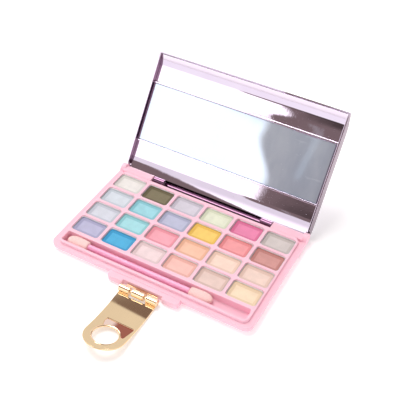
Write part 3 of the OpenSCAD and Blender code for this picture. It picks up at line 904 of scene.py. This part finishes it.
def claspSurface(c):
    # rays from the middle of the hole to the outline: straight sides towards the pin, a round end beyond it.
    # Across each ray the skin runs over the top, round the rim, back underneath and up through the hole.
    rays = 360
    a = (np.arange(rays) + 0.5) * 2 * math.pi / rays
    dx, dy = np.cos(a), np.sin(a)          # dy towards the pin
    side = c["width"] / np.maximum(np.abs(dx), 1e-9)
    back = np.where(dy > 0, (c["reach"] - 0.2) / np.maximum(dy, 1e-9), 1e9)
    outer = np.where(dy > 0, np.minimum(side, back), c["width"])
    near = np.linspace(0, 1, 64)
    s = 0.45 * (0.5 - 0.5 * np.cos(near * math.pi)) + 0.55 * near ** 1.25
    e, half = c["edge"], c["thick"] / 2
    k = np.linspace(0, math.pi, 9)[1:-1]
    top = c["hole"] + e + (outer - c["hole"] - 2 * e) * s[:, None]
    rim = outer - e + e * np.sin(k)[:, None]
    bottom = c["hole"] + e + (outer - c["hole"] - 2 * e) * s[::-3, None]
    mouth = np.broadcast_to((c["hole"] + e - e * np.sin(k))[:, None], (len(k), rays))
    radius = np.concatenate([top, rim, bottom, mouth])
    level = np.concatenate([np.zeros(len(top)), -half + half * np.cos(k), np.full(len(bottom), -c["thick"]),
                            -half - half * np.cos(k)])[:, None]
    x = radius * dx
    y = c["reach"] - radius * dy                             # distance from the pin
    lip = rise01(radius, c["hole"] + 0.15, c["hole"] + 0.4) * (1 - rise01(radius, c["lip"] - 0.35, c["lip"]))
    level = level + np.where(level == 0, c["lipHeight"] * lip, 0)
    z = -c["drop"] + claspRise(y) + level
    return np.stack([x, c["y"] - y, c["z"] + z], -1)


def makeClasp(c):
    # the plate with its two outer knuckles
    axis = [0, c["y"], c["z"]]
    obj = objectFrom("claspPlate", [solid(claspSurface(c), closeRows=True)])
    rod = turned(rodProfile(c["gap"], c["half"], c["radius"], 0.2), 48) + axis
    carve(obj, [solid(rod * [side, 1, 1]) for side in (-1, 1)], "UNION")
    bore = solid(turned([[-12, c["pin"] + 0.05], [12, c["pin"] + 0.05]], 32) + axis)
    room = [-c["gap"], c["gap"], c["y"] - 2.4, c["y"] + 3, 0.3]
    middleRoom = solid(ringStack([room + [-1], room + [5]], 4, 1))
    carve(obj, [bore, middleRoom, thumbNotch(c)], "DIFFERENCE")
    centres, normals = faceData(smooth(obj, 30))
    # faces of the sunk area are marked for the gold's painted reflection
    sunk = claspRise(c["y"] - centres[:, 1]) - c["drop"] + c["z"] - centres[:, 2]
    mark(obj, "notch", "FACE", (sunk > 0.06) & (sunk < 0.75) & (normals[:, 2] > 0.8))
    dress(obj, materials["gold"], "clasp", ["clasp_plate"])

    # the middle knuckle, with an arm and a foot that lies in the bracket's slit
    middle = turned(rodProfile(-c["middle"], c["middle"], c["radius"], 0.2), 48) + axis
    obj = objectFrom("claspLeaf", [solid(middle)])
    low, high = c["leafLow"], c["leafLow"] + c["leafThick"]
    arm, foot, ends = c["arm"], c["foot"], softEnds(low, high, 0.15, 3)
    arm = ringStack(insetRows(-arm[0], arm[0], c["y"], arm[1], 0.15, ends), 3, 1)
    foot = ringStack(insetRows(-foot[0], foot[0], foot[1], foot[2], 0.4, ends), 3, 1)
    carve(obj, [solid(arm), solid(foot)], "UNION")
    bore = solid(turned([[-6, c["pin"]], [6, c["pin"]]], 32) + axis)
    carve(obj, [bore], "DIFFERENCE")
    dress(smooth(obj, 30), materials["gold"], "base", ["clasp_leaf"])

    rod = turned(rodProfile(-c["half"], c["half"], c["pin"], 0.12), 32) + axis
    obj = objectFrom("claspPin", [solid(rod)])
    dress(smooth(obj, 30), materials["gold"], "base", ["clasp_pin"])


makeClasp(clasp)
print("clasp done")


wand = {"x": -8.0, "y": -26.315, "z": 3.72, "half": 38.5, "sponge": 11.5, "wide": 5.8, "thick": 4.2,
        "stick": 1.4, "neck": 0.9, "neckLength": 6.0}


def makeWand(w):
    # a stick with thinner necks, which the sponges are pulled over
    place = np.array([w["x"], w["y"], w["z"]])
    inner = w["half"] - w["sponge"]
    end = inner + w["neckLength"]
    profile = ease([[-end, 0.3], [-end, w["neck"]], [-inner, w["neck"]], [-inner + 0.01, w["stick"]],
                    [inner - 0.01, w["stick"]], [inner, w["neck"]], [end, w["neck"]], [end, 0.3]],
                   [0, 0.1, 0.1, 0.25, 0.25, 0.1, 0.1, 0], 4)
    obj = objectFrom("applicatorStick", [solid(turned(profile, 40) + place)])
    dress(smooth(obj, 50), materials["stick"], "applicator", ["applicator_stick"])
    # sleeve with a rounded mouth that swells and then narrows to a blunt tip:
    # girth = sqrt(1 - (1 - mouth)^2) sqrt(1 - (1 - tip)^2.2), with mouth and tip from 0 at their ends to 1
    along, around = 48, 56
    t = np.linspace(0, 1, along)
    mouth = np.clip(t / 0.05, 0, 1)
    tip = np.clip((1 - t) / 0.42, 0, 1)
    girth = np.sqrt(1 - (1 - mouth) ** 2) * np.sqrt(np.maximum(1 - (1 - tip) ** 2.2, 0))
    swell = np.sin(np.clip(t / 0.6, 0, 1) * math.pi / 2)
    wide = w["wide"] / 2 * (0.86 + 0.14 * swell) * girth
    high = w["thick"] / 2 * (0.92 + 0.08 * swell) * girth ** 1.05
    a = np.arange(around) * 2 * math.pi / around
    x = np.broadcast_to((inner + w["sponge"] * t)[:, None], (along, around))
    y = np.maximum(wide, 0.02)[:, None] * np.cos(a)
    z = np.maximum(high, 0.02)[:, None] * np.sin(a)
    sleeve = np.stack([x, y, z], -1)
    for side, end in ((-1, "left"), (1, "right")):
        obj = objectFrom("sponge" + end.capitalize(), [solid(sleeve * [side, 1, 1] + place)])
        dress(smooth(obj, 60), materials["sponge"], "applicator", ["sponge_" + end])


makeWand(wand)
print("applicator done")


cameraPlace = {"azimuth": 27.2226, "elevation": 42.7626, "roll": 2.0903, "distance": 370.904,
               "aim": (1.332, 15.096, 17.626), "lens": 70.285}


def makeCamera(c):
    # looks along the line from a point on a sphere about the aim, rolled a little about that line
    az, el, roll = (math.radians(c[k]) for k in ("azimuth", "elevation", "roll"))
    back = Vector((math.sin(az) * math.cos(el), -math.cos(az) * math.cos(el), math.sin(el)))
    right = Vector((math.cos(az), math.sin(az), 0))
    up = back.cross(right)
    turnedRight = right * math.cos(roll) + up * math.sin(roll)
    turnedUp = up * math.cos(roll) - right * math.sin(roll)
    data = bpy.data.cameras.new("camera")
    data.lens, data.sensor_width = c["lens"], 36
    data.clip_start, data.clip_end = 0.01, 20
    camera = bpy.data.objects.new("camera", data)
    scene.collection.objects.link(camera)
    spot = (Vector(c["aim"]) + back * c["distance"]) * mm
    turn = Matrix((turnedRight, turnedUp, back)).transposed().to_4x4()
    camera.matrix_world = Matrix.Translation(spot) @ turn
    scene.camera = camera


def makeFloor():
    # pale paper that glows a little, so that it stays nearly white under a soft shadow
    mesh = bpy.data.meshes.new("floor")
    s = 4.0
    mesh.from_pydata([(-s, -s, 0), (s, -s, 0), (s, s, 0), (-s, s, 0)], [], [(0, 1, 2, 3)])
    floor = bpy.data.objects.new("floor", mesh)
    scene.collection.objects.link(floor)
    p = Paint("floorPaper")
    colour = p.blend(p.noise(8, 2), (0.9, 0.9, 0.9), (0.93, 0.93, 0.93))
    mesh.materials.append(p.surface(**{"Base Color": colour, "Roughness": 0.9,
                                       "Emission Color": (1, 1, 1, 1), "Emission Strength": 0.3}))


# colours of the room, and the angles in degrees between which one part fades into the next
room = {"panel": (1.65, 1.6, 1.64), "low": (1.08, 1.06, 1.1), "lilac": (0.92, 0.9, 0.93),
        "dark": (0.22, 0.165, 0.16), "rear": (0.85, 0.84, 0.83), "stripe": (0.6, 0.62, 0.64),
        "windowLeft": (-33.5, -30.5), "windowRight": (-12, -9), "windowTop": (58, 63), "windowGlow": (42, 56),
        "behind": (95, 120), "ceiling": (39.5, 41), "ceilingBehind": 9,
        "gapLeft": -20.2, "gapFade": (-0.5, 0.5), "gapRight": (22, 30), "gapLow": (13, 14.5),
        "gapTop": (33.5, 35), "lean": (14, 27), "leanBy": 2.6, "jut": (27, 30), "jutBy": 2.2,
        "lilacFrom": (30, 31.5), "lowTo": (13, 15), "deepLeft": (-17.5, -13), "deepTop": (26, 28),
        "deepness": 0.35,
        "stripeLeft": (-16, -15.6), "stripeRight": (-15.4, -15), "stripeLow": (28, 28.6), "stripeAmount": 0.3}


def makeWorld(r):
    # a plain room around the object: a bright band of soft panels, a dimmer one under it and a dark ceiling,
    # with a window of light that reaches higher in front, and a dark gap across the front
    world = bpy.data.worlds.new("studio")
    scene.world = world
    world.use_nodes = True
    p = Paint("studio", world.node_tree)
    x, y, z = p.split(p.node("ShaderNodeTexCoord", output="Generated"))
    heading = x.maths("ARCTAN2", y * -1) * (180 / math.pi)      # 0 in front, + to the right
    height = z.maths("ARCSINE") * (180 / math.pi)
    window = heading.above(*r["windowLeft"]) * (1 - heading.above(*r["windowRight"]))
    window = window * (1 - height.above(*r["windowTop"]))
    behind = heading.maths("ABSOLUTE").above(*r["behind"])
    ceiling = (height - behind * r["ceilingBehind"]).above(*r["ceiling"]) * (1 - window)
    # the gap's left border leans to the right as it climbs, then juts back
    border = heading - r["gapLeft"] - height.above(*r["lean"]) * r["leanBy"]
    border = border + height.above(*r["jut"]) * r["jutBy"]
    gap = border.above(*r["gapFade"]) * (1 - heading.above(*r["gapRight"]))
    gap = gap * height.above(*r["gapLow"]) * (1 - height.above(*r["gapTop"]))
    panel = p.blend(height.above(*r["lilacFrom"]), r["panel"], r["lilac"])
    panel = p.blend(height.above(*r["windowGlow"]) * window, panel, r["panel"])
    panel = p.blend(behind, panel, r["rear"])
    low = p.blend(height.above(*r["lowTo"]), r["low"], panel)
    depth = heading.above(*r["deepLeft"]) * (1 - height.above(*r["deepTop"]))
    deep = p.blend(depth, r["dark"], shade(r["dark"], r["deepness"]))
    colour = p.blend(gap, low, deep)
    stripe = heading.above(*r["stripeLeft"]) * (1 - heading.above(*r["stripeRight"]))
    stripe = stripe * height.above(*r["stripeLow"])
    colour = p.blend(stripe * gap * r["stripeAmount"], colour, r["stripe"])
    colour = p.blend(ceiling, colour, r["dark"])
    background = p.node("ShaderNodeBackground", {}, {"Color": colour})
    out = p.tree.nodes.new("ShaderNodeOutputWorld")
    p.tree.links.new(background.socket, out.inputs["Surface"])


keyLight = {"place": (-0.3, 0.12, 0.85), "target": (0, 0, 0.02), "side": 0.5, "power": 5.0}


def makeKeyLight(k):
    data = bpy.data.lights.new("key", "AREA")
    data.shape, data.size, data.energy = "SQUARE", k["side"], k["power"]
    lamp = bpy.data.objects.new("key", data)
    scene.collection.objects.link(lamp)
    lamp.location = k["place"]
    lamp.rotation_mode = "QUATERNION"
    lamp.rotation_quaternion = (Vector(k["target"]) - Vector(k["place"])).to_track_quat("-Z", "Y")


makeCamera(cameraPlace)
makeFloor()
makeWorld(room)
makeKeyLight(keyLight)
scene.view_settings.view_transform = "Standard"

print("scene done")
